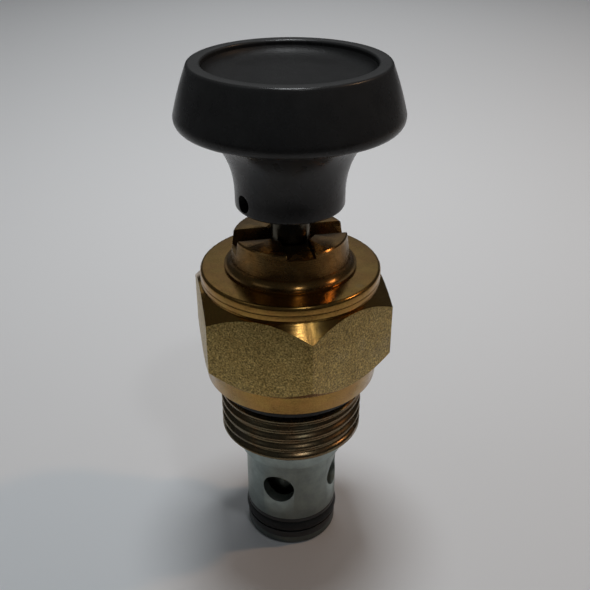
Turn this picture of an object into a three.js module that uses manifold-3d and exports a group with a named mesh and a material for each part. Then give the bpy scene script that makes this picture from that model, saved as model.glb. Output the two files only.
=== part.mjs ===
// Screw-in hydraulic cartridge flow control valve with a hand knob: millimetres, +Z up,
// standing on its nose, a hex corner and a bonnet slot towards -Y.
import * as THREE from "three";
import { mergeVertices } from "three/addons/utils/BufferGeometryUtils.js";
import Module from "manifold-3d";

const wasm = await Module();
wasm.setup();

// Driving dimensions, mm. Heights stack up from the nose end at z = 0.
const acrossFlats = 27;
const portThreadDiameter = 22.2;
const noseDiameter = 14.8;
const noseLength = 20.6; // nose end to the first thread
const threadLength = 11.2; // first thread to the collar seat
const hexHeight = 15.3; // collar seat to the underside of the disc
const discDiameter = 26.4;
const discHeight = 2.5;
const bonnetDiameter = 16.4; // across the slotted top
const bonnetHeight = 5.1;
const slotWidth = 4;
const slotDepth = 2.2; // the spanner slot across X
const notchDepth = 0.7; // the shallow notches front and back
const stemDiameter = 5.8;
const knobDiameter = 31;
const knobHeight = 20;
const knobNeckDiameter = 15.5;
const closingTravel = 3; // from the pictured setting down to closed
const openingTravel = 1.5; // from the pictured setting up to the stop
const checkLift = 2.4; // reverse-flow lift of the check poppet
const crossHoleDiameter = 5.2;
const crossHoleTurn = THREE.MathUtils.degToRad(-28); // first cross hole from -Y towards +X
const setScrewDiameter = 2.2;
const setScrewTurn = THREE.MathUtils.degToRad(-66);

// Heights.
const portSeat = noseLength + threadLength;
const hexTop = portSeat + hexHeight;
const discTop = hexTop + discHeight;
const bonnetTop = discTop + bonnetHeight;
const knobFoot = bonnetTop + closingTravel + 1.3;
const knobTop = knobFoot + knobHeight;

// Radii.
const noseR = noseDiameter / 2;
const threadR = portThreadDiameter / 2;
const flatR = acrossFlats / 2;
const cornerR = acrossFlats / Math.sqrt(3);
const discR = Math.min(discDiameter / 2, flatR - 0.3);
const stemR = stemDiameter / 2;
const chamberR = noseR - 1.8; // bore of the cage round the check poppet
const landR = chamberR * 0.68; // sealing land of the spindle
const spindleThreadR = Math.max(landR, stemR) + 0.65;
const spigotR = Math.min(noseR + 0.5, threadR - 1.6); // cage end screwed into the body
const undercutR = threadR - 1.4;
const bonnetR = bonnetDiameter / 2;
const shankR = Math.min(Math.max(spindleThreadR + 2.5, 7), bonnetR - 0.6);
const needleR = chamberR * 0.446;
const neckR = knobNeckDiameter / 2;
const knobR = knobDiameter / 2;
const insertR = (stemR + neckR) / 2 - 0.1;
const setScrewR = setScrewDiameter / 2;
const sealRecessR = Math.min(undercutR + 2.35, flatR - 0.9); // round the port seal, in the seat

// Inside heights, at the pictured setting.
const cageTop = noseLength + 3.8;
const sealBoreFoot = cageTop + 0.1;
const sealFoot = sealBoreFoot + closingTravel + 0.3; // groove of the spindle seals
const sealHeight = 2.2;
const sealBoreTop = sealFoot + sealHeight + openingTravel + 0.5;
const bonnetFoot = Math.max(discTop - 6.45, sealBoreTop + closingTravel + openingTravel + 3);
const washerHeight = 0.6;
const spindleShoulder = bonnetFoot - openingTravel - washerHeight - 0.05;
const spindleThreadFoot = sealBoreTop + closingTravel + 0.9;
const spindleFoot = cageTop - 2.9;
const poppetFoot = 6.15;
const crossHoleHeight = 11.9;
const poppetTop = spindleFoot - 4.5;
const springSeatHeight = 0.6;
const sealRecess = 0.1; // depth of the port seal's recess in the seat
const wiperFoot = bonnetTop - slotDepth - 1.6;

// A closed solid from a three.js geometry, with the corners at one point joined.
function solid(geometry) {
  const bare = geometry.index ? geometry.toNonIndexed() : geometry.clone();
  bare.deleteAttribute("normal");
  bare.deleteAttribute("uv");
  const merged = mergeVertices(bare, 1e-4);
  const corner = merged.index.array;
  const kept = [];
  for (let i = 0; i < corner.length; i += 3) {
    const [a, b, c] = [corner[i], corner[i + 1], corner[i + 2]];
    if (a !== b && b !== c && c !== a) kept.push([a, b, c]);
  }
  const build = (faces) =>
    new wasm.Manifold(
      new wasm.Mesh({
        numProp: 3,
        vertProperties: new Float32Array(merged.attributes.position.array),
        triVerts: new Uint32Array(faces.flat()),
      }),
    );
  const made = build(kept);
  return made.volume() > 0 ? made : build(kept.map(([a, b, c]) => [a, c, b]));
}

// A turned piece: the outline is [radius, height] points, closed onto its first one.
function turned(outline, sides = 32) {
  const points = [...outline, outline[0]].map(([r, z]) => new THREE.Vector2(Math.max(r, 0), z));
  return solid(new THREE.LatheGeometry(points, sides).rotateX(Math.PI / 2));
}

// Points of an elliptical arc, angles in quarter turns from the outward direction.
function arc(r, z, wide, high, from, to, steps = 4) {
  return Array.from({ length: steps + 1 }, (_, i) => {
    const a = ((from + ((to - from) * i) / steps) * Math.PI) / 2;
    return [r + wide * Math.cos(a), z + high * Math.sin(a)];
  });
}

function bend(from, through, to, steps = 5) {
  const curve = new THREE.QuadraticBezierCurve(
    new THREE.Vector2(...from),
    new THREE.Vector2(...through),
    new THREE.Vector2(...to),
  );
  return curve.getPoints(steps).map((p) => [p.x, p.y]);
}

function roundRing(inner, outer, foot, top, sides = 32) {
  return turned(
    arc((inner + outer) / 2, (foot + top) / 2, (outer - inner) / 2, (top - foot) / 2, 0, 3.5, 7),
    sides,
  );
}

function flatRing(inner, outer, foot, top, sides = 32) {
  return turned([[inner, foot], [outer, foot], [outer, top], [inner, top]], sides);
}

// A round bar standing out from the axis at a given turn and height.
function spoke(radius, start, end, turn, height, sides = 24) {
  return solid(
    new THREE.CylinderGeometry(radius, radius, end - start, sides)
      .translate(0, -(start + end) / 2, 0)
      .rotateZ(turn)
      .translate(0, 0, height),
  );
}

const steel = { color: 0x4a4a4c, roughness: 0.35, metalness: 1 };
const bronzedZinc = { color: 0x86763a, roughness: 0.34, metalness: 1 };
const clearZinc = { color: 0xa4a8a8, roughness: 0.4, metalness: 1 };
const rubber = { color: 0x0d0d0e, roughness: 0.6, metalness: 0 };
const backup = { color: 0x171717, roughness: 0.45, metalness: 0 };
const phenolic = { color: 0x0b0b0c, roughness: 0.24, metalness: 0 };
const brass = { color: 0xb08d4a, roughness: 0.3, metalness: 1 };

const part = new THREE.Group();
part.name = "flow_control_valve";

function add(name, shape, finish) {
  const mesh = shape.getMesh();
  const corners = new Float32Array(mesh.numVert * 3);
  for (let i = 0; i < mesh.numVert; i++) {
    const start = i * mesh.numProp;
    corners.set(mesh.vertProperties.subarray(start, start + 3), i * 3);
  }
  const geometry = new THREE.BufferGeometry()
    .setAttribute("position", new THREE.BufferAttribute(corners, 3))
    .setIndex(new THREE.BufferAttribute(mesh.triVerts, 1));
  geometry.computeVertexNormals();
  const piece = new THREE.Mesh(geometry, new THREE.MeshStandardMaterial(finish));
  piece.name = name;
  part.add(piece);
}

// ---- Hex body: threaded shank, undercut, collar, hexagon and disc, one turned and milled bar.
const bodySides = 36;
const collarTop = portSeat + 3.2;
const shank = turned(
  [
    [0, noseLength],
    [threadR - 0.9, noseLength],
    [threadR, noseLength + 0.9],
    [threadR, portSeat - 3],
    [undercutR, portSeat - 2.4],
    [undercutR, portSeat + sealRecess],
    [sealRecessR, portSeat + sealRecess],
    [sealRecessR, portSeat],
    [flatR - 0.4, portSeat],
    [flatR - 0.02, collarTop],
    [flatR - 0.02, hexTop - 1],
    [discR - 0.35, hexTop - 0.15],
    [discR - 0.35, hexTop + 0.1],
    [discR, hexTop + 0.35],
    [discR, discTop - 0.55],
    ...arc(discR - 0.5, discTop - 0.5, 0.5, 0.5, 0.1, 1, 3),
    [0, discTop],
  ],
  bodySides,
);
const cornerCut = cornerR - flatR;
const hexagon = solid(
  new THREE.CylinderGeometry(cornerR, cornerR, hexHeight, 6)
    .rotateX(Math.PI / 2)
    .translate(0, 0, portSeat + hexHeight / 2),
).intersect(
  turned(
    [
      [0, collarTop],
      [flatR, collarTop],
      [cornerR + 0.1, collarTop + 0.1 + cornerCut],
      [cornerR + 0.1, hexTop - 0.3 - cornerCut],
      [flatR - 0.1, hexTop],
      [0, hexTop],
    ],
    bodySides,
  ),
);
const bodyBores = turned([
  [0, noseLength - 1],
  [spigotR + 0.1, noseLength - 1],
  [spigotR + 0.1, sealBoreFoot],
  [landR + 0.1, sealBoreFoot],
  [landR + 0.1, sealBoreTop],
  [spindleThreadR + 0.15, sealBoreTop + 0.5],
  [spindleThreadR + 0.15, bonnetFoot - 0.6],
  [shankR + 0.1, bonnetFoot - 0.6],
  [shankR + 0.1, discTop + 1],
  [0, discTop + 1],
]);
add("hex_body", shank.add(hexagon).subtract(bodyBores), bronzedZinc);

// ---- Cage: the silver nose, with its seal groove, cross holes and the seat of the check poppet.
const grooveFoot = 1.5;
const grooveTop = 5.6;
const grooveR = noseR - 1.5;
const portR = chamberR * 0.75;
const seatHeight = poppetFoot + 0.75;
const cage = turned([
  [portR, 0],
  [noseR - 0.4, 0],
  [noseR, 0.4],
  [noseR, grooveFoot],
  [grooveR, grooveFoot],
  [grooveR, grooveTop],
  [noseR, grooveTop],
  [noseR, noseLength - 3.8],
  [noseR + 0.15, noseLength - 3.5],
  [spigotR + 0.5, noseLength - 3.3],
  [spigotR + 0.5, noseLength],
  [spigotR, noseLength],
  [spigotR, cageTop],
  [chamberR, cageTop],
  [chamberR, seatHeight],
  [portR, seatHeight],
]);
const crossHoles = Array.from({ length: 4 }, (_, i) =>
  spoke(
    crossHoleDiameter / 2,
    chamberR - 1.5,
    noseR + 1,
    crossHoleTurn + (i * Math.PI) / 2,
    crossHoleHeight,
    20,
  ),
);
add("cage", crossHoles.reduce((piece, hole) => piece.subtract(hole), cage), clearZinc);

add("nose_backup_lower", flatRing(grooveR + 0.05, noseR + 0.03, grooveFoot, grooveFoot + 1.2), backup);
add("nose_o_ring", roundRing(grooveR + 0.05, noseR + 0.22, grooveFoot + 1.2, grooveTop - 0.7), rubber);
add("nose_backup_upper", flatRing(grooveR + 0.05, noseR + 0.03, grooveTop - 0.7, grooveTop), backup);
add(
  "port_o_ring",
  roundRing(undercutR + 0.05, sealRecessR - 0.2, portSeat - 2.1, portSeat + sealRecess, bodySides),
  rubber,
);

// ---- Reverse check: poppet, spring and the washer the spring pushes off.
const orificeR = needleR + 0.1;
const poppetR = chamberR * 0.84;
const poppetBore = chamberR * 0.7;
const guideFoot = poppetTop - 2.9;
const poppetWindows = Array.from({ length: 4 }, (_, i) =>
  spoke(1.1, poppetBore - 1, poppetR + 1, (i * Math.PI) / 2, crossHoleHeight - 0.6, 16),
);
const coneFoot = portR - 0.8;
add(
  "check_poppet",
  poppetWindows.reduce(
    (piece, hole) => piece.subtract(hole),
    turned(
      [
        [orificeR, poppetFoot],
        [coneFoot, poppetFoot],
        [poppetR, poppetFoot + poppetR - coneFoot],
        [poppetR, guideFoot - 0.5],
        [chamberR - 0.15, guideFoot],
        [chamberR - 0.15, poppetTop],
        [poppetBore, poppetTop],
        [poppetBore, poppetFoot + 2.6],
        [orificeR, poppetFoot + 2.1],
      ],
      28,
    ),
  ),
  steel,
);

const wireR = 0.35;
const springFoot = poppetTop + wireR + 0.03;
const springTop = cageTop + 0.1 - springSeatHeight - wireR - 0.03;
const springR = chamberR - 0.35 - wireR;
class Coil extends THREE.Curve {
  getPoint(t, target = new THREE.Vector3()) {
    const turns = 6;
    const angle = 2 * Math.PI * turns * t;
    // The first and last turns lie almost flat, as the closed ends of a ground spring do.
    const climb = THREE.MathUtils.clamp((t * turns - 0.9) / (turns - 1.8), 0, 1);
    const flat = wireR * 2.2;
    const span = springTop - springFoot - 2 * flat;
    const ends = Math.min(t * turns, 1) + Math.max(t * turns - turns + 1, 0);
    const z = springFoot + flat * ends + span * climb;
    return target.set(springR * Math.sin(angle), -springR * Math.cos(angle), z);
  }
}
const wire = new THREE.Shape().absarc(0, 0, wireR, 0, 2 * Math.PI);
add(
  "check_spring",
  solid(new THREE.ExtrudeGeometry(wire, { steps: 72, curveSegments: 3, extrudePath: new Coil() })),
  steel,
);
add(
  "spring_seat",
  flatRing(landR + 0.2, chamberR - 0.1, cageTop + 0.1 - springSeatHeight, cageTop + 0.1),
  steel,
);

// ---- Metering needle, free to turn in the foot of the spindle on its snap ring.
const swivelR = needleR * 0.6;
const swivelGroove = spindleFoot + 2.1;
const pinSides = 24;
add(
  "needle",
  turned(
    [
      [0, spindleFoot - 15.4],
      ...arc(0, spindleFoot - 14.9, needleR * 0.36, 0.5, -0.7, 0, 3),
      [needleR, spindleFoot - 11.6],
      [needleR, spindleFoot - 0.1],
      [swivelR, spindleFoot - 0.1],
      [swivelR, swivelGroove],
      [swivelR - 0.35, swivelGroove],
      [swivelR - 0.35, swivelGroove + 0.5],
      [swivelR, swivelGroove + 0.5],
      [swivelR, spindleFoot + 3.4],
      [swivelR - 0.3, spindleFoot + 3.7],
      [0, spindleFoot + 3.7],
    ],
    pinSides,
  ),
  steel,
);
add(
  "needle_snap_ring",
  flatRing(swivelR - 0.3, swivelR + 0.4, swivelGroove + 0.05, swivelGroove + 0.45).subtract(
    solid(new THREE.BoxGeometry(0.9, 3, 2).translate(0, swivelR + 1, swivelGroove)),
  ),
  steel,
);

// ---- Spindle: swivel socket, sealing land with its groove, adjusting thread, plain stem.
const stemTop = knobFoot + Math.min(10.5, knobHeight * 0.55);
const spindle = turned(
  [
    [swivelR + 0.1, spindleFoot],
    [landR - 0.7, spindleFoot],
    [landR - 0.7, spindleFoot + 2],
    [landR, spindleFoot + 2.6],
    [landR, sealFoot],
    [landR - 1.05, sealFoot],
    [landR - 1.05, sealFoot + sealHeight],
    [landR, sealFoot + sealHeight],
    [landR, spindleThreadFoot - 0.3],
    [spindleThreadR, spindleThreadFoot],
    [spindleThreadR, spindleShoulder - 0.3],
    [spindleThreadR - 0.3, spindleShoulder],
    [stemR, spindleShoulder],
    [stemR, stemTop - 0.4],
    [stemR - 0.4, stemTop],
    [0, stemTop],
    [0, spindleFoot + 4.1],
    [swivelR + 0.1, spindleFoot + 4.1],
    [swivelR + 0.1, swivelGroove + 0.5],
    [swivelR + 0.45, swivelGroove + 0.5],
    [swivelR + 0.45, swivelGroove],
    [swivelR + 0.1, swivelGroove],
  ],
  pinSides,
);
add("spindle", spindle, steel);
add("spindle_o_ring", roundRing(landR - 1, landR + 0.07, sealFoot, sealFoot + 1.4, pinSides), rubber);
add(
  "spindle_backup_ring",
  flatRing(landR - 1, landR + 0.05, sealFoot + 1.4, sealFoot + sealHeight, pinSides),
  backup,
);
const washerTop = spindleShoulder + washerHeight;
add(
  "stop_washer",
  flatRing(stemR + 0.05, spindleThreadR - 0.05, spindleShoulder, washerTop, pinSides),
  steel,
);

// ---- Bonnet: the slotted ring screwed into the top of the body round the stem.
const bonnetBaseR = Math.min(bonnetR + 1.45, discR - 0.8);
const bonnetTurned = turned(
  [
    [stemR + 0.12, bonnetFoot],
    [shankR, bonnetFoot],
    [shankR, discTop - 3.2],
    [shankR - 1.3, discTop - 3.2],
    [shankR - 1.3, discTop - 1.2],
    [shankR, discTop - 1.2],
    [shankR, discTop],
    [bonnetBaseR, discTop],
    [bonnetBaseR, discTop + 0.35],
    ...arc(bonnetBaseR, discTop + 1.5, bonnetBaseR - bonnetR - 0.45, 1.15, 3, 2, 4),
    [bonnetR, bonnetTop - 0.25],
    [bonnetR - 0.25, bonnetTop],
    [stemR + 0.95, bonnetTop],
    [stemR + 0.6, bonnetTop - 0.35],
    [stemR + 0.6, wiperFoot],
    [stemR + 0.12, wiperFoot],
  ],
  bodySides,
);
const slots = [
  [notchDepth, 0],
  [slotDepth, Math.PI / 2],
].map(([depth, turn]) =>
  solid(
    new THREE.BoxGeometry(slotWidth, 3 * bonnetR, depth + 1)
      .translate(0, 0, bonnetTop + (1 - depth) / 2)
      .rotateZ(turn),
  ),
);
add("bonnet", slots.reduce((piece, slot) => piece.subtract(slot), bonnetTurned), bronzedZinc);
add("bonnet_o_ring", roundRing(shankR - 1.25, shankR + 0.07, discTop - 3.1, discTop - 1.3), rubber);
add("stem_wiper", flatRing(stemR + 0.07, stemR + 0.55, wiperFoot, wiperFoot + 1.3), backup);

// ---- Knob: mushroom moulding, brass insert, set screw and the disc let into the top.
const knobSides = 36;
const edge = 1;
const flareTop = knobTop - knobHeight * 0.41;
const flareWide = knobR - edge - neckR;
const recessR = knobR * 0.742;
const recessDepth = 1.3;
const insertTop = knobFoot + Math.min(11, knobHeight * 0.58);
const shoulderR = knobR * 0.875;
const screwHeight = knobFoot + setScrewR + 0.65;
const knobTurned = turned(
  [
    [insertR + 0.05, knobFoot],
    ...arc(neckR - 0.5, knobFoot + 0.5, 0.5, 0.5, -1, 0, 3),
    ...arc(neckR + flareWide, knobFoot + 2, flareWide, flareTop - knobFoot - 2, 2, 1, 6),
    ...arc(knobR - edge, flareTop + edge * 1.3, edge, edge * 1.3, -0.75, -0.05, 3),
    ...bend(
      [knobR, flareTop + 1.5],
      [(knobR + shoulderR) / 2 + 0.23, (flareTop + 1.5 + knobTop - 0.6) / 2],
      [shoulderR, knobTop - 0.6],
    ),
    ...arc(shoulderR - 0.6, knobTop - 0.55, 0.55, 0.55, 0.3, 1, 3),
    [recessR + 0.25, knobTop],
    [recessR, knobTop - 0.2],
    [recessR, knobTop - recessDepth],
    [0, knobTop - recessDepth],
    [0, insertTop + 0.5],
    [insertR + 0.05, insertTop + 0.5],
  ],
  knobSides,
);
const screwWay = spoke(setScrewR + 0.15, insertR - 0.5, neckR + 3, setScrewTurn, screwHeight, 18);
add("knob", knobTurned.subtract(screwWay), phenolic);
add(
  "knob_insert",
  flatRing(stemR + 0.05, insertR, knobFoot + 0.4, insertTop, pinSides).subtract(
    spoke(setScrewR + 0.05, stemR - 0.5, insertR + 1, setScrewTurn, screwHeight, 18),
  ),
  brass,
);
add("set_screw", spoke(setScrewR, stemR + 0.05, neckR - 1.2, setScrewTurn, screwHeight, 18), steel);
add(
  "knob_cap_disc",
  turned(
    [
      [0, knobTop - recessDepth],
      [recessR - 0.06, knobTop - recessDepth],
      [recessR - 0.06, knobTop - 0.55],
      [recessR - 0.16, knobTop - 0.45],
      [0, knobTop - 0.45],
    ],
    knobSides,
  ),
  { color: 0x111112, roughness: 0.5, metalness: 0 },
);

export default part;
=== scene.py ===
"""Screw-in cartridge flow control valve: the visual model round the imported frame, in metres."""

import bmesh
import bpy
import math
from mathutils import Matrix, Vector


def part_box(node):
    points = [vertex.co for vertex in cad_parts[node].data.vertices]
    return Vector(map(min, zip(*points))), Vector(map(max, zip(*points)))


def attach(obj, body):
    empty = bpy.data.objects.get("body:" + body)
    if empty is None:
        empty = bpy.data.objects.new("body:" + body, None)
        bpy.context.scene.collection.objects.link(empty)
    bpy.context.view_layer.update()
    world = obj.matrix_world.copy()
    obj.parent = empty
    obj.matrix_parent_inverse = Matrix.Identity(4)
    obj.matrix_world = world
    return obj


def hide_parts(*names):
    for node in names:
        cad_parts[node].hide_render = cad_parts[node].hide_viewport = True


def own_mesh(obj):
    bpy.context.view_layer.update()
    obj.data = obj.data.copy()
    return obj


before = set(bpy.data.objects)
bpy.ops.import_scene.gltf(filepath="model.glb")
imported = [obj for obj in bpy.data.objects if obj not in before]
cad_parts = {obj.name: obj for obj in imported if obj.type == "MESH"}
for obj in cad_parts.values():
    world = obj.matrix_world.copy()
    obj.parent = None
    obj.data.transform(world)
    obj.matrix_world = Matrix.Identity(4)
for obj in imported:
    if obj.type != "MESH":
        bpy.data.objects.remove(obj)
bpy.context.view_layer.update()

MM = 0.001
TAU = 2 * math.pi
SIDES = 240  # columns of a turned piece, a multiple of six so that hex corners fall on one
EDGE_TURN = math.radians(24)  # an outline that turns by more has an edge to be rounded there
CUT_EDGE_TURN = math.radians(38)  # the same between two faces, after a cut


# ---- Places, in millimetres, read from the frame.
def low(node):
    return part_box(node)[0] / MM


def high(node):
    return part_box(node)[1] / MM


nose_r = high("nose_backup_lower").x - 0.03
flat_r = high("hex_body").x
thread_foot = low("hex_body").z
disc_top = high("hex_body").z
disc_height = 2.5
hex_top = disc_top - disc_height
SEAL_RECESS = 0.1  # how far the port seal reaches up into the seat
port_seat = high("port_o_ring").z - SEAL_RECESS
bonnet_top = high("bonnet").z
bonnet_foot = low("bonnet").z
knob_foot = low("knob").z
knob_top = high("knob").z
knob_r = high("knob").x
cage_top = high("cage").z
spindle_foot = low("spindle").z
stem_top = high("spindle").z
THREAD_R = 11.1
THREAD_PITCH = 25.4 / 14
CROSS_HOLE_TURN = math.radians(-28)
CROSS_HOLE_HEIGHT = 11.9
CROSS_HOLE_R = 2.6
SCREW_TURN = math.radians(-66)
SCREW_R = 1.1
SCREW_HEIGHT = knob_foot + SCREW_R + 0.65
STEM_R = 2.9

CAMERA_AZIMUTH = math.radians(-10.9)
CAMERA_PITCH = math.radians(29.74)
CAMERA_ROLL = math.radians(-0.26)
CAMERA_DISTANCE, CAMERA_HEIGHT = 106.6, 105.0


# ---- Mesh building.
class Point:
    """One point of a turned outline. r and z may be functions of the angle round the axis."""

    def __init__(self, r, z, mat=0, soft=False):
        self.r, self.z, self.mat, self.soft = r, z, mat, soft

    def at(self, angle):
        r = self.r(angle) if callable(self.r) else self.r
        z = self.z(angle) if callable(self.z) else self.z
        return r, z


def as_points(outline):
    return [p if isinstance(p, Point) else Point(*p) for p in outline]


def arc(r, z, wide, tall, start, end, steps=8):
    """Points of an elliptical arc, its angles in quarter turns from outwards towards up."""
    angles = [(start + (end - start) * i / steps) * math.pi / 2 for i in range(steps + 1)]
    return [Point(r + wide * math.cos(a), z + tall * math.sin(a)) for a in angles]


def bend(start, through, end):
    """Points of a quadratic curve."""
    steps = 16
    points = []
    for i in range(steps + 1):
        t = i / steps
        a, b, c = (1 - t) ** 2, 2 * t * (1 - t), t**2
        r, z = (a * start[k] + b * through[k] + c * end[k] for k in (0, 1))
        points.append(Point(r, z))
    return points


def thread(foot, top, major, depth, pitch, rows=22, mat=0):
    """Points of a right-hand thread that runs out smoothly at both ends."""
    root_flat, flank = 0.1, 0.84  # shares of the way from the middle of the root to the crest

    def radius(z):
        def at(angle):
            turn = (z / pitch - angle / TAU) % 1.0
            ramp = min(abs(turn - 0.5) / 0.5, 1.0)  # 0 at the root, 1 at the crest
            form = min(max((ramp - root_flat) / flank, 0.0), 1.0)
            form = form * form * (3 - 2 * form)
            fade = min((z - foot) / (0.5 * pitch), (top - z) / (0.5 * pitch), 1.0)
            return major - depth * (1 - form) * max(fade, 0.0)

        return at

    count = round((top - foot) / pitch * rows)
    heights = [foot + (top - foot) * i / count for i in range(count + 1)]
    return [Point(radius(z), z, mat, soft=True) for z in heights]


def turn_of(before, here, after):
    """The angle between two neighbouring stretches of an outline."""
    a, b = Vector(here) - Vector(before), Vector(after) - Vector(here)
    return a.angle(b) if a.length > 1e-6 and b.length > 1e-6 else 0.0


def turned(name, outline, corners=(), sides=SIDES, edge=0.12):
    """A closed mesh turned round Z from an outline in millimetres, its sharp edges rounded.
    corners lists the outline rows with a hexagon's upright edges, which are rounded too."""
    points = as_points(outline)
    on_axis = [not callable(p.r) and p.r < 1e-6 for p in points]
    verts, rings = [], []
    for p, pole in zip(points, on_axis):
        ring = []
        for i in range(1 if pole else sides):
            angle = TAU * i / sides
            r, z = p.at(angle)
            verts.append((r * math.sin(angle) * MM, -r * math.cos(angle) * MM, z * MM))
            ring.append(len(verts) - 1)
        rings.append(ring)
    faces, mats, edges = [], [], {}
    for k, ring in enumerate(rings):
        after = rings[(k + 1) % len(rings)]
        if len(ring) == 1 and len(after) == 1:
            continue
        for i in range(sides):
            j = (i + 1) % sides
            low_edge = [ring[i % len(ring)], ring[j % len(ring)]]
            high_edge = [after[j % len(after)], after[i % len(after)]]
            faces.append(list(dict.fromkeys(low_edge + high_edge)))
            mats.append(points[k].mat)
        sample = math.radians(5)  # clear of the hexagon's corners and flats
        trio = [points[(k + d) % len(points)] for d in (-1, 0, 1)]
        if len(ring) > 1 and not points[k].soft:
            if turn_of(*(p.at(sample) for p in trio)) > EDGE_TURN:
                for i in range(sides):
                    edges[frozenset((ring[i], ring[(i + 1) % sides]))] = 1.0
    for k in corners:
        for i in range(0, sides, sides // 6):
            edges[frozenset((rings[k][i], rings[k + 1][i]))] = 1.0
    mesh = bpy.data.meshes.new(name)
    mesh.from_pydata(verts, [], faces)
    mesh.polygons.foreach_set("material_index", mats)
    weight = mesh.attributes.new("bevel_weight_edge", "FLOAT", "EDGE")
    for e in mesh.edges:
        weight.data[e.index].value = edges.get(frozenset(e.vertices), 0.0)
    obj = bpy.data.objects.new(name, mesh)
    bpy.context.scene.collection.objects.link(obj)
    face_out(obj)
    if edge:
        bevel = obj.modifiers.new("edges", "BEVEL")
        bevel.limit_method = "WEIGHT"
        bevel.width, bevel.segments = edge * MM, 3
        apply_all(obj)
    return obj


def face_out(obj):
    """Turns every face outwards."""
    bm = bmesh.new()
    bm.from_mesh(obj.data)
    bmesh.ops.recalc_face_normals(bm, faces=bm.faces)
    if bm.calc_volume(signed=True) < 0:
        bmesh.ops.reverse_faces(bm, faces=bm.faces)
    bm.to_mesh(obj.data)
    bm.free()


def apply_all(obj):
    """Bakes the modifiers into the mesh."""
    bpy.context.view_layer.update()
    graph = bpy.context.evaluated_depsgraph_get()
    mesh = bpy.data.meshes.new_from_object(obj.evaluated_get(graph))
    obj.modifiers.clear()
    old, obj.data = obj.data, mesh
    bpy.data.meshes.remove(old)


def cut(obj, cutters, edge=0.0):
    """Subtracts the cutters, then rounds the edges they leave."""
    for cutter in cutters:
        mod = obj.modifiers.new("cut", "BOOLEAN")
        mod.operation, mod.solver, mod.object = "DIFFERENCE", "EXACT", cutter
    apply_all(obj)
    for cutter in cutters:
        bpy.data.objects.remove(cutter)
    if edge:
        mod = obj.modifiers.new("edges", "BEVEL")
        mod.limit_method, mod.angle_limit = "ANGLE", CUT_EDGE_TURN
        mod.width, mod.segments = edge * MM, 2
        apply_all(obj)


def spoke(radius, start, end, turn, height, sides=64):
    """A round bar standing out from the axis, as a cutter or a screw."""
    obj = turned("spoke", [(0, start), (radius, start), (radius, end), (0, end)], sides=sides, edge=0)
    lay = Matrix.Rotation(turn, 4, "Z") @ Matrix.Rotation(math.pi / 2, 4, "X")
    obj.data.transform(Matrix.Translation((0, 0, height * MM)) @ lay)
    return obj


def block(size, centre, turn=0.0):
    """A box in millimetres, turned round Z, as a cutter."""
    x, y, z = (s / 2 * MM for s in size)
    verts = [(a * x, b * y, c * z) for a in (-1, 1) for b in (-1, 1) for c in (-1, 1)]
    faces = [(0, 1, 3, 2), (4, 6, 7, 5), (0, 4, 5, 1), (2, 3, 7, 6), (0, 2, 6, 4), (1, 5, 7, 3)]
    mesh = bpy.data.meshes.new("block")
    mesh.from_pydata(verts, [], faces)
    mesh.transform(Matrix.Rotation(turn, 4, "Z") @ Matrix.Translation(Vector(centre) * MM))
    obj = bpy.data.objects.new("block", mesh)
    bpy.context.scene.collection.objects.link(obj)
    return obj


def finish_piece(obj, name, body, slot, materials, *nodes, smooth=32):
    """Names, paints and smooths a piece, seats it on its body and hides the CAD node it stands for."""
    obj.name = obj.data.name = name
    for material in materials:
        obj.data.materials.append(material)
    obj.data.polygons.foreach_set("use_smooth", [True] * len(obj.data.polygons))
    obj.data.set_sharp_from_angle(angle=math.radians(smooth))
    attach(obj, body)
    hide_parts(*nodes)
    return obj


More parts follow.
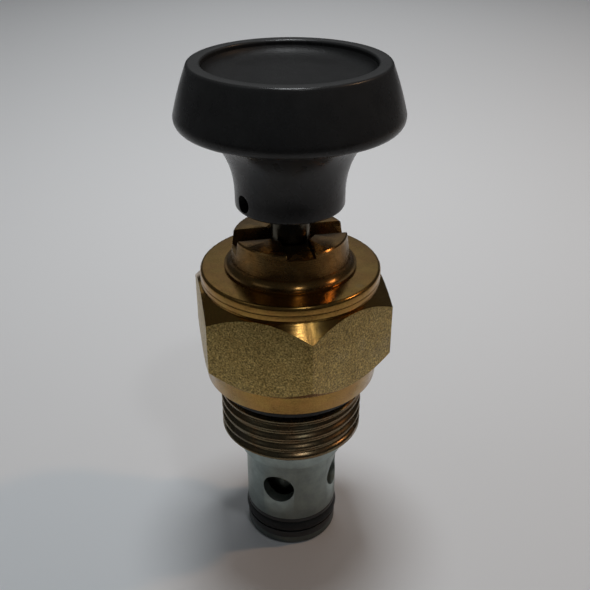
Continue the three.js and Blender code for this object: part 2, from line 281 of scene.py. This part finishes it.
# ---- Materials.
class Nodes:
    """A short way to write a node tree."""

    def __init__(self, name):
        self.material = bpy.data.materials.new(name)
        self.material.use_nodes = True
        self.tree = self.material.node_tree
        self.shader = self.tree.nodes["Principled BSDF"]
        self.place = self.add("ShaderNodeTexCoord").outputs["Object"]

    def add(self, kind, **settings):
        node = self.tree.nodes.new(kind)
        for key, value in settings.items():
            setattr(node, key, value)
        return node

    def link(self, source, target):
        self.tree.links.new(source, target)

    def set(self, **values):
        for key, value in values.items():
            self.shader.inputs[key.replace("_", " ")].default_value = value

    def noise(self, per_mm, detail=3.0, rough=0.55, stretch=None):
        """Noise with about per_mm features a millimetre, stretched if asked."""
        place = self.place
        if stretch:
            mapping = self.add("ShaderNodeMapping")
            mapping.inputs["Scale"].default_value = stretch
            self.link(place, mapping.inputs["Vector"])
            place = mapping.outputs["Vector"]
        node = self.add("ShaderNodeTexNoise")
        node.inputs["Scale"].default_value = per_mm / MM
        node.inputs["Detail"].default_value = detail
        node.inputs["Roughness"].default_value = rough
        self.link(place, node.inputs["Vector"])
        return node.outputs["Fac"]

    def ramp(self, source, stops):
        node = self.add("ShaderNodeValToRGB")
        ramp = node.color_ramp
        while len(ramp.elements) < len(stops):
            ramp.elements.new(0.5)
        for element, (position, colour) in zip(ramp.elements, stops):
            element.position = position
            element.color = (*colour, 1)
        self.link(source, node.inputs["Fac"])
        return node.outputs["Color"]

    def spread(self, source, least, most):
        """Maps noise, which mostly lies from 0.3 to 0.7, onto a range."""
        node = self.add("ShaderNodeMapRange")
        for key, value in zip(("From Min", "From Max", "To Min", "To Max"), (0.3, 0.7, least, most)):
            node.inputs[key].default_value = value
        self.link(source, node.inputs["Value"])
        return node.outputs["Result"]

    def mix(self, factor, a, b):
        """Mixes two colours, each a socket or a plain colour."""
        node = self.add("ShaderNodeMix", data_type="RGBA")
        for name, value in (("Factor", factor), ("A", a), ("B", b)):
            socket = next(s for s in node.inputs if s.name == name and s.enabled)
            if isinstance(value, tuple):
                socket.default_value = (*value, 1)
            else:
                self.link(value, socket)
        return next(s for s in node.outputs if s.name == "Result" and s.enabled)

    def bump(self, height, depth_mm, below=None):
        node = self.add("ShaderNodeBump")
        node.inputs["Distance"].default_value = depth_mm * MM
        node.inputs["Strength"].default_value = 1.0
        self.link(height, node.inputs["Height"])
        if below:
            self.link(below, node.inputs["Normal"])
        return node.outputs["Normal"]

    def turned_grain(self, anisotropy, rotation=0.0):
        """Reflections drawn out by a lathe's grain round Z."""
        if anisotropy:
            tangent = self.add("ShaderNodeTangent", direction_type="RADIAL", axis="Z")
            self.link(tangent.outputs["Tangent"], self.shader.inputs["Tangent"])
        self.set(Metallic=1.0, Anisotropic=anisotropy, Anisotropic_Rotation=rotation)

    def surface(self, peel_noise, peel, grooves):
        """A faint peel, with turned grooves if any, their depths in millimetres."""
        normal = self.bump(peel_noise, peel)
        if grooves:
            lines = self.noise(7.0, detail=2.0, stretch=(0.01, 0.01, 1.0))
            normal = self.bump(lines, grooves, below=normal)
        self.link(normal, self.shader.inputs["Normal"])


def grey(v):
    return (v, v, v)


def scaled(colour, factor):
    return tuple(min(1, c * factor) for c in colour)


def brass_zinc(name, base, tint, rough, peel, grooves=0.0, anisotropy=0.0, peel_scale=4.0, speckle=0.3):
    """Yellow-passivated zinc plate, whose base colour drifts to the tint and a little violet.
    peel and grooves are depths in millimetres, with peel_scale bumps a millimetre."""
    n = Nodes(name)
    drift = n.noise(0.16, detail=2.0)
    patch = n.noise(0.55, detail=4.0, rough=0.6)
    fine = n.noise(peel_scale, detail=2.0)
    colour = n.ramp(drift, [(0.34, base), (0.5, tint), (0.62, base), (0.72, VIOLET)])
    colour = n.mix(n.spread(patch, 0.0, 0.55), colour, scaled(base, 0.62))
    colour = n.mix(n.spread(fine, 0.0, speckle), colour, scaled(base, 1.7))
    pits = n.spread(n.noise(peel_scale * 1.3, detail=3.0), 0.0, speckle * 1.4)
    colour = n.mix(pits, colour, scaled(base, 0.3))
    n.link(colour, n.shader.inputs["Base Color"])
    n.link(n.spread(patch, rough - 0.06, rough + 0.1), n.shader.inputs["Roughness"])
    n.turned_grain(anisotropy, rotation=0.25)
    n.surface(n.noise(peel_scale, detail=4.0, rough=0.65), peel, grooves)
    return n.material


def plain_metal(name, base, rough, anisotropy=0.0, grooves=0.0, peel=0.004, painted_shade_heights=None):
    """Bare or clear-plated metal. The optional last argument gives two heights in mm for painted shade: dark
    below the first, fading out to the plain colour at the second.
    """
    n = Nodes(name)
    patch = n.noise(0.5, detail=4.0, rough=0.6)
    colour = n.mix(n.spread(patch, 0.0, 1.0), base, scaled(base, 0.75))
    if painted_shade_heights:
        # Painted shade: the colour darkens towards the lower height, down to about a fifth of itself.
        split = n.add("ShaderNodeSeparateXYZ")
        n.link(n.place, split.inputs[0])
        shade_fade = n.add("ShaderNodeMapRange")
        for key, z in zip(("From Min", "From Max"), painted_shade_heights):
            shade_fade.inputs[key].default_value = z * MM
        n.link(split.outputs["Z"], shade_fade.inputs["Value"])
        colour = n.mix(shade_fade.outputs["Result"], scaled(base, 0.22), colour)
    n.link(colour, n.shader.inputs["Base Color"])
    n.link(n.spread(patch, rough - 0.05, rough + 0.08), n.shader.inputs["Roughness"])
    n.turned_grain(anisotropy)
    n.surface(n.noise(5.0, detail=3.0), peel, grooves)
    return n.material


def moulded(name, base, rough, grain, per_mm, specular=0.5):
    """Rubber or plastic from a mould. grain is in millimetres, with per_mm bumps a millimetre."""
    n = Nodes(name)
    patch = n.noise(0.3, detail=4.0, rough=0.6)
    light = tuple(c * 1.35 + 0.001 for c in base)
    n.link(n.mix(n.spread(patch, 0.0, 1.0), base, light), n.shader.inputs["Base Color"])
    n.link(n.spread(n.noise(0.4, detail=3.0), rough - 0.03, rough + 0.05), n.shader.inputs["Roughness"])
    n.set(Specular_IOR_Level=specular)
    n.link(n.bump(n.noise(per_mm, detail=3.0, rough=0.6), grain), n.shader.inputs["Normal"])
    return n.material


GOLD, COPPER, VIOLET = (0.45, 0.27, 0.07), (0.42, 0.21, 0.06), (0.25, 0.2, 0.16)
# The second colour here, for the bonnet, is the plate's gold darkened as painted shade.
OLIVE, SHADED_UMBER = (0.57, 0.41, 0.145), (0.27, 0.17, 0.065)
# The thread's brass and copper are the plate's colours darkened as painted shade, for the thread lying in
# shade under the hex.
SHADED_BRASS, SHADED_COPPER = (0.19, 0.155, 0.09), (0.24, 0.13, 0.06)
turned_zinc = brass_zinc("turned_zinc", GOLD, COPPER, 0.2, peel=0.004, grooves=0.012, anisotropy=0.5)
# The bonnet's zinc: its darkened base colour is painted shade.
bonnet_zinc = brass_zinc("bonnet_zinc", SHADED_UMBER, COPPER, 0.24, peel=0.003, grooves=0.02, anisotropy=0.82)
milled_zinc = brass_zinc("milled_zinc", OLIVE, GOLD, 0.3, peel=0.13, peel_scale=3.2, speckle=0.85)
# The thread's zinc: its darkened base colour is painted shade.
thread_zinc = brass_zinc("thread_zinc", SHADED_BRASS, SHADED_COPPER, 0.24, peel=0.004)
# The cage's zinc carries painted shade, darkening from 9 mm down towards its tip.
clear_zinc = plain_metal("clear_zinc", (0.36, 0.41, 0.385), 0.4, peel=0.012, painted_shade_heights=(-1.5, 9))
steel = plain_metal("steel", (0.32, 0.31, 0.28), 0.3, anisotropy=0.5, grooves=0.006)
spring_steel = plain_metal("spring_steel", (0.35, 0.34, 0.33), 0.3)
black_steel = plain_metal("black_steel", (0.06, 0.06, 0.06), 0.35)
stem_steel = plain_metal("stem_steel", (0.12, 0.11, 0.085), 0.2, anisotropy=0.3, grooves=0.004)
brass = plain_metal("brass", (0.6, 0.42, 0.17), 0.28, anisotropy=0.4, grooves=0.01)
rubber = moulded("rubber", grey(0.012), 0.52, grain=0.006, per_mm=6.0, specular=0.25)
backup = moulded("backup_ring", grey(0.016), 0.4, grain=0.005, per_mm=3.0)
phenolic = moulded("phenolic", grey(0.02), 0.27, grain=0.0005, per_mm=1.6, specular=0.27)
cap_black = moulded("cap_black", grey(0.007), 0.45, grain=0.05, per_mm=3.5, specular=0.22)

# ---- Hex body.
THREAD_TOP = port_seat - 3.0
UNDERCUT_R = THREAD_R - 1.4
SEAL_SEAT_R = UNDERCUT_R + 2.35
SOCKET_R = 8.0  # for the cage
SPINDLE_BORE_R, SEAL_BORE_R = 4.6, 3.9
disc_r = 13.2
chamfer_r = flat_r - 0.02


def hex_r(angle):
    """The hexagon's outline, with a corner at angle zero."""
    return flat_r / math.cos(angle % (math.pi / 3) - math.pi / 6)


def lower_arc(angle):
    """The height at which the collar's cone cuts the flats."""
    return port_seat + 3.2 + (hex_r(angle) - chamfer_r)


def upper_arc(angle):
    """The height at which the chamfer under the disc cuts the flats."""
    return hex_top - 0.05 - (hex_r(angle) - chamfer_r) * 1.02


MILLED, THREADED = 1, 2  # places in zincs, whose first is for all that is turned
bore_r = high("bonnet_o_ring").x + 0.03
body_outline = [
    Point(SOCKET_R, thread_foot),
    Point(THREAD_R - 1.0, thread_foot, THREADED),
    Point(THREAD_R - 0.05, thread_foot + 0.95, THREADED, soft=True),
    *thread(thread_foot + 1.0, THREAD_TOP - 0.3, THREAD_R, 0.6, THREAD_PITCH, mat=THREADED),
    Point(THREAD_R, THREAD_TOP - 0.1, THREADED),
    Point(UNDERCUT_R, THREAD_TOP + 0.6, THREADED),
    Point(UNDERCUT_R, port_seat + SEAL_RECESS, THREADED),
    Point(SEAL_SEAT_R, port_seat + SEAL_RECESS, THREADED),
    Point(SEAL_SEAT_R, port_seat),
    Point(flat_r - 0.45, port_seat),
    Point(chamfer_r, port_seat + 3.15),
    Point(hex_r, lower_arc, MILLED),
    Point(hex_r, upper_arc),
    Point(disc_r - 0.3, hex_top - 0.1),
    Point(disc_r - 0.3, hex_top + 0.12),
    Point(disc_r - 0.02, hex_top + 0.35),
    Point(disc_r, hex_top + 1.1),
    Point(disc_r - 0.05, hex_top + 1.16),
    Point(disc_r - 0.05, hex_top + 1.24),
    Point(disc_r, hex_top + 1.3),
    *arc(disc_r - 0.5, disc_top - 0.5, 0.5, 0.5, 0, 1, 6),
    Point(bore_r, disc_top),
    Point(bore_r, bonnet_foot - 0.6),
    Point(SPINDLE_BORE_R, bonnet_foot - 0.6),
    Point(SPINDLE_BORE_R, cage_top + 8.1),
    Point(SEAL_BORE_R, cage_top + 7.6),
    Point(SEAL_BORE_R, cage_top + 0.1),
    Point(SOCKET_R, cage_top + 0.1),
]
corner_row = next(i for i, p in enumerate(body_outline) if p.mat == MILLED)
body = turned("hex_body", body_outline, corners=[corner_row], edge=0.16)
zincs = [turned_zinc, milled_zinc, thread_zinc]
finish_piece(body, "Hex_body", "valve", "bronzed_zinc", zincs, "hex_body")

# ---- Bonnet: turning marks down its tapered wall, a deep slot and a shallow notch across its top.
BONNET_R = 8.2
TAPER = 0.42
MARK_PITCH, MARK_WIDTH, MARK_DEPTH = 0.3, 0.14, 0.006
wall_foot, wall_top = disc_top + 1.6, bonnet_top - 0.35


def wall_r(z):
    """The radius of the tapered wall."""
    return BONNET_R + TAPER * (wall_top - z) / (wall_top - wall_foot)


MARK_FORM = ((-0.5, 0), (-0.2, 0.7), (0, 1), (0.2, 0.7), (0.5, 0))  # shares of its width and depth
marks = [Point(wall_r(wall_foot), wall_foot)]
mark_z = wall_foot + MARK_PITCH / 2
while mark_z < wall_top - MARK_WIDTH:
    for step, depth in MARK_FORM:
        z = mark_z + step * MARK_WIDTH
        marks.append(Point(wall_r(z) - depth * MARK_DEPTH, z, soft=True))
    mark_z += MARK_PITCH
marks.append(Point(wall_r(wall_top), wall_top))
wiper_foot = low("stem_wiper").z
stem_bore_r, wiper_bore_r = STEM_R + 0.12, STEM_R + 0.6
base_r = high("bonnet").x
shank_r = high("bonnet_o_ring").x - 0.07
seal_r = shank_r - 1.3
bonnet = turned(
    "bonnet",
    [
        (stem_bore_r, bonnet_foot),
        (shank_r, bonnet_foot),
        (shank_r, disc_top - 3.2),
        (seal_r, disc_top - 3.2),
        (seal_r, disc_top - 1.2),
        (shank_r, disc_top - 1.2),
        (shank_r, disc_top + 0.01),
        (base_r, disc_top + 0.01),
        (base_r, disc_top + 0.35),
        *arc(base_r, disc_top + 1.5, base_r - BONNET_R - TAPER, 1.15, 3, 2, 8),
        *marks,
        (BONNET_R - 0.02, bonnet_top - 0.2),
        (BONNET_R - 0.2, bonnet_top),
        (STEM_R + 0.85, bonnet_top),
        (wiper_bore_r, bonnet_top - 0.25),
        (wiper_bore_r, wiper_foot),
        (stem_bore_r, wiper_foot),
    ],
    edge=0.0,
)
SLOT_WIDTH, SLOT_DEPTH, NOTCH_DEPTH = 4.0, 2.2, 0.7
SLOT_CUT = 5.0  # the cutter's height, more than any depth
slots = [
    block((SLOT_WIDTH, 30, SLOT_CUT), (0, 0, bonnet_top - depth + SLOT_CUT / 2), turn)
    for depth, turn in ((NOTCH_DEPTH, 0), (SLOT_DEPTH, math.pi / 2))
]
cut(bonnet, slots, edge=0.09)
finish_piece(bonnet, "Slotted_bonnet", "valve", "bronzed_zinc", [bonnet_zinc], "bonnet")

# ---- Cage.
GROOVE_FOOT, GROOVE_TOP = low("nose_backup_lower").z, high("nose_backup_upper").z
CHAMBER_R, PORT_R, SEAT = nose_r - 1.8, (nose_r - 1.8) * 0.75, low("check_poppet").z + 0.75
groove_r = nose_r - 1.5
cage = turned(
    "cage",
    [
        (PORT_R + 0.3, 0),
        (nose_r - 0.4, 0),
        (nose_r, 0.4),
        (nose_r, GROOVE_FOOT),
        (groove_r, GROOVE_FOOT),
        (groove_r, GROOVE_TOP),
        (nose_r, GROOVE_TOP),
        (nose_r, thread_foot - 3.85),
        (nose_r + 0.12, thread_foot - 3.55),
        (nose_r + 1.0, thread_foot - 3.3),
        (nose_r + 1.0, thread_foot),
        (nose_r + 0.5, thread_foot),
        (nose_r + 0.5, cage_top),
        (CHAMBER_R, cage_top),
        (CHAMBER_R, SEAT),
        (PORT_R, SEAT),
        (PORT_R, 0.3),
    ],
    edge=0.08,
)
holes = [
    spoke(CROSS_HOLE_R, CHAMBER_R - 1.5, nose_r + 2, CROSS_HOLE_TURN + i * TAU / 4, CROSS_HOLE_HEIGHT)
    for i in range(4)
]
cut(cage, holes, edge=0.07)
finish_piece(cage, "Nose_cage", "valve", "clear_zinc", [clear_zinc], "cage")


# ---- Seals.
def o_ring(name, node, body="valve"):
    """A moulded ring with the faint line its mould leaves round the middle."""
    inner = ring_bore(node)
    outer, foot, top = high(node).x, low(node).z, high(node).z
    middle, wide, tall = (inner + outer) / 2, (outer - inner) / 2, (top - foot) / 2
    centre, mould_line = (foot + top) / 2, 0.02
    points = arc(middle, centre, wide, tall, -1.96, 1.96, 48)
    for p in points:
        if abs(p.z - centre) < 0.04 * tall and p.r > middle:
            p.r += mould_line
    ring = turned(name, points, edge=0.0)
    return finish_piece(ring, name, body, "rubber", [rubber], node)


def ring_bore(node):
    """The smallest radius of a CAD ring."""
    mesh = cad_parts[node].data
    return min(math.hypot(v.co.x, v.co.y) for v in mesh.vertices) / MM


def flat_ring(name, node, material, slot, body="valve"):
    inner, outer = ring_bore(node), high(node).x
    foot, top = low(node).z, high(node).z
    ring = turned(name, [(inner, foot), (outer, foot), (outer, top), (inner, top)], edge=0.08)
    return finish_piece(ring, name, body, slot, [material], node)


o_ring("Port_seal_ring", "port_o_ring")
o_ring("Nose_seal_ring", "nose_o_ring")
o_ring("Bonnet_seal_ring", "bonnet_o_ring")
o_ring("Spindle_seal_ring", "spindle_o_ring", "handwheel")
flat_ring("Nose_backup_lower", "nose_backup_lower", backup, "backup_ring")
flat_ring("Nose_backup_upper", "nose_backup_upper", backup, "backup_ring")
flat_ring("Stem_wiper", "stem_wiper", backup, "backup_ring")
flat_ring("Spindle_backup", "spindle_backup_ring", backup, "backup_ring", "handwheel")
flat_ring("Stop_washer", "stop_washer", steel, "steel", "handwheel")
flat_ring("Spring_seat", "spring_seat", steel, "steel")

# ---- Reverse check: poppet and spring.
poppet_foot, poppet_top = low("check_poppet").z, high("check_poppet").z
guide_r = high("check_poppet").x
POPPET_R, POPPET_BORE, ORIFICE_R = 4.7, 3.92, 2.6
poppet = turned(
    "poppet",
    [
        (ORIFICE_R, poppet_foot),
        (3.4, poppet_foot),
        (POPPET_R, poppet_foot + POPPET_R - 3.4),
        (POPPET_R, poppet_top - 3.4),
        (guide_r, poppet_top - 2.9),
        (guide_r, poppet_top),
        (POPPET_BORE, poppet_top),
        (POPPET_BORE, poppet_foot + 2.6),
        (ORIFICE_R, poppet_foot + 2.1),
    ],
    edge=0.08,
)
windows = [spoke(1.1, 2.9, 5.7, i * TAU / 4, CROSS_HOLE_HEIGHT - 0.6, 40) for i in range(4)]
cut(poppet, windows, edge=0.05)
finish_piece(poppet, "Check_poppet", "check", "steel", [steel], "check_poppet")


def spring():
    """A round wire coil whose first and last turns lie nearly flat, against their neighbours."""
    wire, turns, steps, round_steps = 0.35, 6, 360, 16
    coil_r = high("check_spring").x - wire
    foot, top = low("check_spring").z + wire, high("check_spring").z - wire
    end_turns = 0.9  # of each end, before the coil starts to climb
    end_rise = wire * 2.2
    verts = []
    for i in range(steps + 1):
        t = turns * i / steps
        angle = TAU * t
        climb = min(max((t - end_turns) / (turns - 2 * end_turns), 0.0), 1.0)
        ends = min(t, 1) + max(t - turns + 1, 0)
        z = foot + end_rise * ends + (top - foot - 2 * end_rise) * climb
        out = Vector((math.sin(angle), -math.cos(angle), 0))
        for j in range(round_steps):
            a = TAU * j / round_steps
            verts.append((out * (coil_r + wire * math.cos(a)) + Vector((0, 0, z + wire * math.sin(a)))) * MM)
    faces = []
    for i in range(steps):
        for j in range(round_steps):
            k = (j + 1) % round_steps
            a, b = i * round_steps, (i + 1) * round_steps
            faces.append((a + j, a + k, b + k, b + j))
    faces.append(tuple(range(round_steps)))
    faces.append(tuple(steps * round_steps + j for j in reversed(range(round_steps))))
    mesh = bpy.data.meshes.new("spring")
    mesh.from_pydata(verts, [], faces)
    obj = bpy.data.objects.new("spring", mesh)
    bpy.context.scene.collection.objects.link(obj)
    face_out(obj)
    return obj


coil = finish_piece(spring(), "Check_spring", "valve", "steel", [spring_steel], "check_spring", smooth=60)
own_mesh(coil)

# ---- Metering needle and its snap ring.
needle_r = high("needle").x
swivel_r = needle_r * 0.6
snap_r = swivel_r - 0.35  # the bottom of the groove for the snap ring
groove_z, groove_height = spindle_foot + 2.1, 0.5
needle = turned(
    "needle",
    [
        *arc(0, spindle_foot - 14.9, needle_r * 0.36, 0.5, -1, 0, 8),
        (needle_r, spindle_foot - 11.6),
        (needle_r, spindle_foot - 0.1),
        (swivel_r, spindle_foot - 0.1),
        (swivel_r, groove_z),
        (snap_r, groove_z),
        (snap_r, groove_z + groove_height),
        (swivel_r, groove_z + groove_height),
        (swivel_r, spindle_foot + 3.4),
        (swivel_r - 0.3, spindle_foot + 3.7),
        (0, spindle_foot + 3.7),
    ],
    edge=0.06,
)
finish_piece(needle, "Metering_needle", "metering", "steel", [steel], "needle")
snap_inner, snap_outer = swivel_r - 0.3, swivel_r + 0.4
snap_foot, snap_top = groove_z + 0.05, groove_z + groove_height - 0.05
snap = turned(
    "snap",
    [(snap_inner, snap_foot), (snap_outer, snap_foot), (snap_outer, snap_top), (snap_inner, snap_top)],
    edge=0.04,
)
cut(snap, [block((0.9, 3, 2), (0, swivel_r + 1, groove_z))])
finish_piece(snap, "Needle_snap_ring", "metering", "steel", [spring_steel], "needle_snap_ring")

# ---- Spindle.
LAND_R, LEAD_SCREW_R = 3.808, 4.458
seal_foot, seal_top = low("spindle_o_ring").z, high("spindle_backup_ring").z
shoulder = low("stop_washer").z
screw_foot = shoulder - 5.1
pocket_r = swivel_r + 0.1  # the needle's swivel turns in it
pocket_top = spindle_foot + 4.1
spindle = turned(
    "spindle",
    [
        (pocket_r, spindle_foot),
        (LAND_R - 0.7, spindle_foot),
        (LAND_R - 0.7, spindle_foot + 2),
        (LAND_R, spindle_foot + 2.6),
        (LAND_R, seal_foot),
        (LAND_R - 1.05, seal_foot),
        (LAND_R - 1.05, seal_top),
        (LAND_R, seal_top),
        (LAND_R, screw_foot - 0.4),
        *thread(screw_foot, shoulder - 0.3, LEAD_SCREW_R, 0.5, 1.0, rows=16),
        (LEAD_SCREW_R - 0.3, shoulder),
        (STEM_R, shoulder),
        (STEM_R, stem_top - 0.4),
        (STEM_R - 0.4, stem_top),
        (0, stem_top),
        (0, pocket_top),
        (pocket_r, pocket_top),
        (pocket_r, groove_z + groove_height),
        (snap_outer + 0.05, groove_z + groove_height),
        (snap_outer + 0.05, groove_z),
        (pocket_r, groove_z),
    ],
    edge=0.06,
)
finish_piece(spindle, "Spindle", "handwheel", "steel", [stem_steel], "spindle")

# ---- Knob.
EDGE = 1.0
NECK_R = 7.75
flare_top = knob_top - 8.2
flare_wide = knob_r - EDGE - NECK_R
recess_r = high("knob_cap_disc").x + 0.06
DISH_DEPTH = 2.0  # the dished top of the cap disc, below the rim
recess_floor = knob_top - DISH_DEPTH - 0.8
insert_r = high("knob_insert").x
insert_top = high("knob_insert").z
shoulder_r = knob_r * 0.875
knob = turned(
    "knob",
    [
        (insert_r + 0.05, knob_foot),
        *arc(NECK_R - 0.5, knob_foot + 0.5, 0.5, 0.5, -1, 0, 6),
        *arc(NECK_R + flare_wide, knob_foot + 2, flare_wide, flare_top - knob_foot - 2, 2, 1, 40),
        *arc(knob_r - EDGE, flare_top + EDGE * 1.3, EDGE, EDGE * 1.3, -0.75, -0.05, 10),
        *bend(
            (knob_r, flare_top + 1.5),
            ((knob_r + shoulder_r) / 2 + 0.23, (flare_top + knob_top + 0.9) / 2),
            (shoulder_r, knob_top - 0.6),
        ),
        *arc(shoulder_r - 0.6, knob_top - 0.55, 0.55, 0.55, 0.3, 1, 6),
        *arc(recess_r + 0.4, knob_top - 0.4, 0.4, 0.4, 1, 2, 8),
        (recess_r, recess_floor),
        (0, recess_floor),
        (0, insert_top + 0.5),
        (insert_r + 0.05, insert_top + 0.5),
    ],
    edge=0.0,
)
cut(knob, [spoke(SCREW_R + 0.15, insert_r - 0.5, NECK_R + 3, SCREW_TURN, SCREW_HEIGHT)], edge=0.08)
finish_piece(knob, "Knob", "handwheel", "phenolic", [phenolic], "knob", smooth=40)
insert = turned(
    "insert",
    [
        (STEM_R + 0.05, knob_foot + 0.4),
        (insert_r, knob_foot + 0.4),
        (insert_r, insert_top),
        (STEM_R + 0.05, insert_top),
    ],
    edge=0.15,
)
cut(insert, [spoke(SCREW_R + 0.05, STEM_R - 0.5, insert_r + 1, SCREW_TURN, SCREW_HEIGHT)])
finish_piece(insert, "Knob_insert", "handwheel", "brass", [brass], "knob_insert")
screw = spoke(SCREW_R, STEM_R + 0.05, NECK_R - 1.2, SCREW_TURN, SCREW_HEIGHT)
cut(screw, [spoke(0.6, NECK_R - 2.5, NECK_R + 1, SCREW_TURN, SCREW_HEIGHT, 6)], edge=0.05)
finish_piece(screw, "Set_screw", "handwheel", "steel", [black_steel], "set_screw")
cap_r, dish_floor = recess_r - 0.06, knob_top - DISH_DEPTH
dish = bend((cap_r - 0.12, knob_top - 0.7), (cap_r - 0.75, dish_floor + 0.05), (cap_r - 3.6, dish_floor))
cap = turned(
    "cap",
    [
        (0, recess_floor),
        (cap_r, recess_floor),
        (cap_r, knob_top - 0.76),
        *dish,
        (0, dish_floor - 0.1),
    ],
    edge=0.0,
)
finish_piece(cap, "Knob_cap_disc", "handwheel", "cap_disc", [cap_black], "knob_cap_disc")


# ---- Stage, light and camera.
def sheet(name, x, near, far, rough, colour):
    """A flat sheet on the stage, x metres to either side."""
    mesh = bpy.data.meshes.new(name)
    mesh.from_pydata([(-x, near, 0), (x, near, 0), (x, far, 0), (-x, far, 0)], [], [(0, 1, 2, 3)])
    obj = bpy.data.objects.new(name, mesh)
    bpy.context.scene.collection.objects.link(obj)
    n = Nodes(name)
    n.set(Roughness=rough, Base_Color=(*colour, 1))
    mesh.materials.append(n.material)
    return obj


def shade_flag():
    """A black card on the table in front of the valve, past the picture, which only reflections see: painted
    shade in the metal's reflections, standing in for the dark surroundings in front.
    """
    obj = sheet("Shade_flag", x=0.7, near=-0.1, far=-0.8, rough=0.9, colour=grey(0.02))
    obj.data.transform(Matrix.Translation((0, 0, MM)) @ Matrix.Rotation(CAMERA_AZIMUTH, 4, "Z"))
    obj.visible_camera = obj.visible_diffuse = obj.visible_shadow = False


def lamp(name, azimuth, elevation, distance, size, power, colour, reach=0.0, spread=180):
    """A round softbox of a size in metres and a power in watts. Its azimuth counts from the camera to
    the right, and it is aimed past the valve, away from the camera, by reach metres."""
    light = bpy.data.lights.new(name, "AREA")
    light.shape, light.size, light.energy, light.color = "DISK", size, power, colour
    light.spread = math.radians(spread)
    obj = bpy.data.objects.new(name, light)
    a, e = math.radians(azimuth) + CAMERA_AZIMUTH, math.radians(elevation)
    valve = Vector((0, 0, 0.04))
    place = valve + Vector((math.sin(a) * math.cos(e), -math.cos(a) * math.cos(e), math.sin(e))) * distance
    away = Vector((-math.sin(CAMERA_AZIMUTH), math.cos(CAMERA_AZIMUTH), 0))
    obj.location = place
    obj.rotation_mode = "QUATERNION"
    obj.rotation_quaternion = (place - valve - away * reach).to_track_quat("Z", "Y")
    bpy.context.scene.collection.objects.link(obj)


def camera():
    data = bpy.data.cameras.new("Camera")
    data.sensor_width, data.lens, data.shift_x = 36, 50.0, 0.0076
    data.clip_start, data.clip_end = 0.005, 20
    obj = bpy.data.objects.new("Camera", data)
    a = CAMERA_AZIMUTH
    place = Vector((math.sin(a) * CAMERA_DISTANCE, -math.cos(a) * CAMERA_DISTANCE, CAMERA_HEIGHT)) * MM
    aim = Matrix.Rotation(a, 4, "Z") @ Matrix.Rotation(math.pi / 2 - CAMERA_PITCH, 4, "X")
    obj.matrix_world = Matrix.Translation(place) @ aim @ Matrix.Rotation(CAMERA_ROLL, 4, "Z")
    bpy.context.scene.collection.objects.link(obj)
    bpy.context.scene.camera = obj


sheet("Floor", x=4, near=-4, far=4, rough=0.8, colour=(0.8, 0.81, 0.82))
shade_flag()
camera()
WARM, COOL, SKY, HAZE = (1.0, 0.6, 0.34), (0.86, 0.93, 1.0), (0.94, 0.975, 1.0), (0.95, 0.98, 1.0)
DAYLIGHT = (0.95, 0.97, 1.0)
lamp("Window", 22, 62, distance=0.6, size=0.045, power=0.2, colour=DAYLIGHT)
lamp("Lamp", 98, 45, distance=0.6, size=0.045, power=0.38, colour=WARM)
lamp("Fill", -75, 55, distance=0.7, size=0.3, power=0.05, colour=COOL)
lamp("Overhead", 177, 85, distance=0.38, size=0.09, power=0.35, colour=SKY, reach=0.15, spread=120)
lamp("Wash", 180, 62, distance=0.8, size=0.2, power=0.19, colour=SKY, reach=0.42, spread=70)
lamp("Backdrop", 180, 30, distance=0.8, size=0.7, power=0.12, colour=HAZE, reach=0.4, spread=90)
world = bpy.data.worlds.new("World")
bpy.context.scene.world = world
world.use_nodes = True
background = world.node_tree.nodes["Background"]
background.inputs["Color"].default_value = (0.74, 0.78, 0.82, 1)
background.inputs["Strength"].default_value = 0.06
bpy.context.scene.view_settings.view_transform = "Standard"
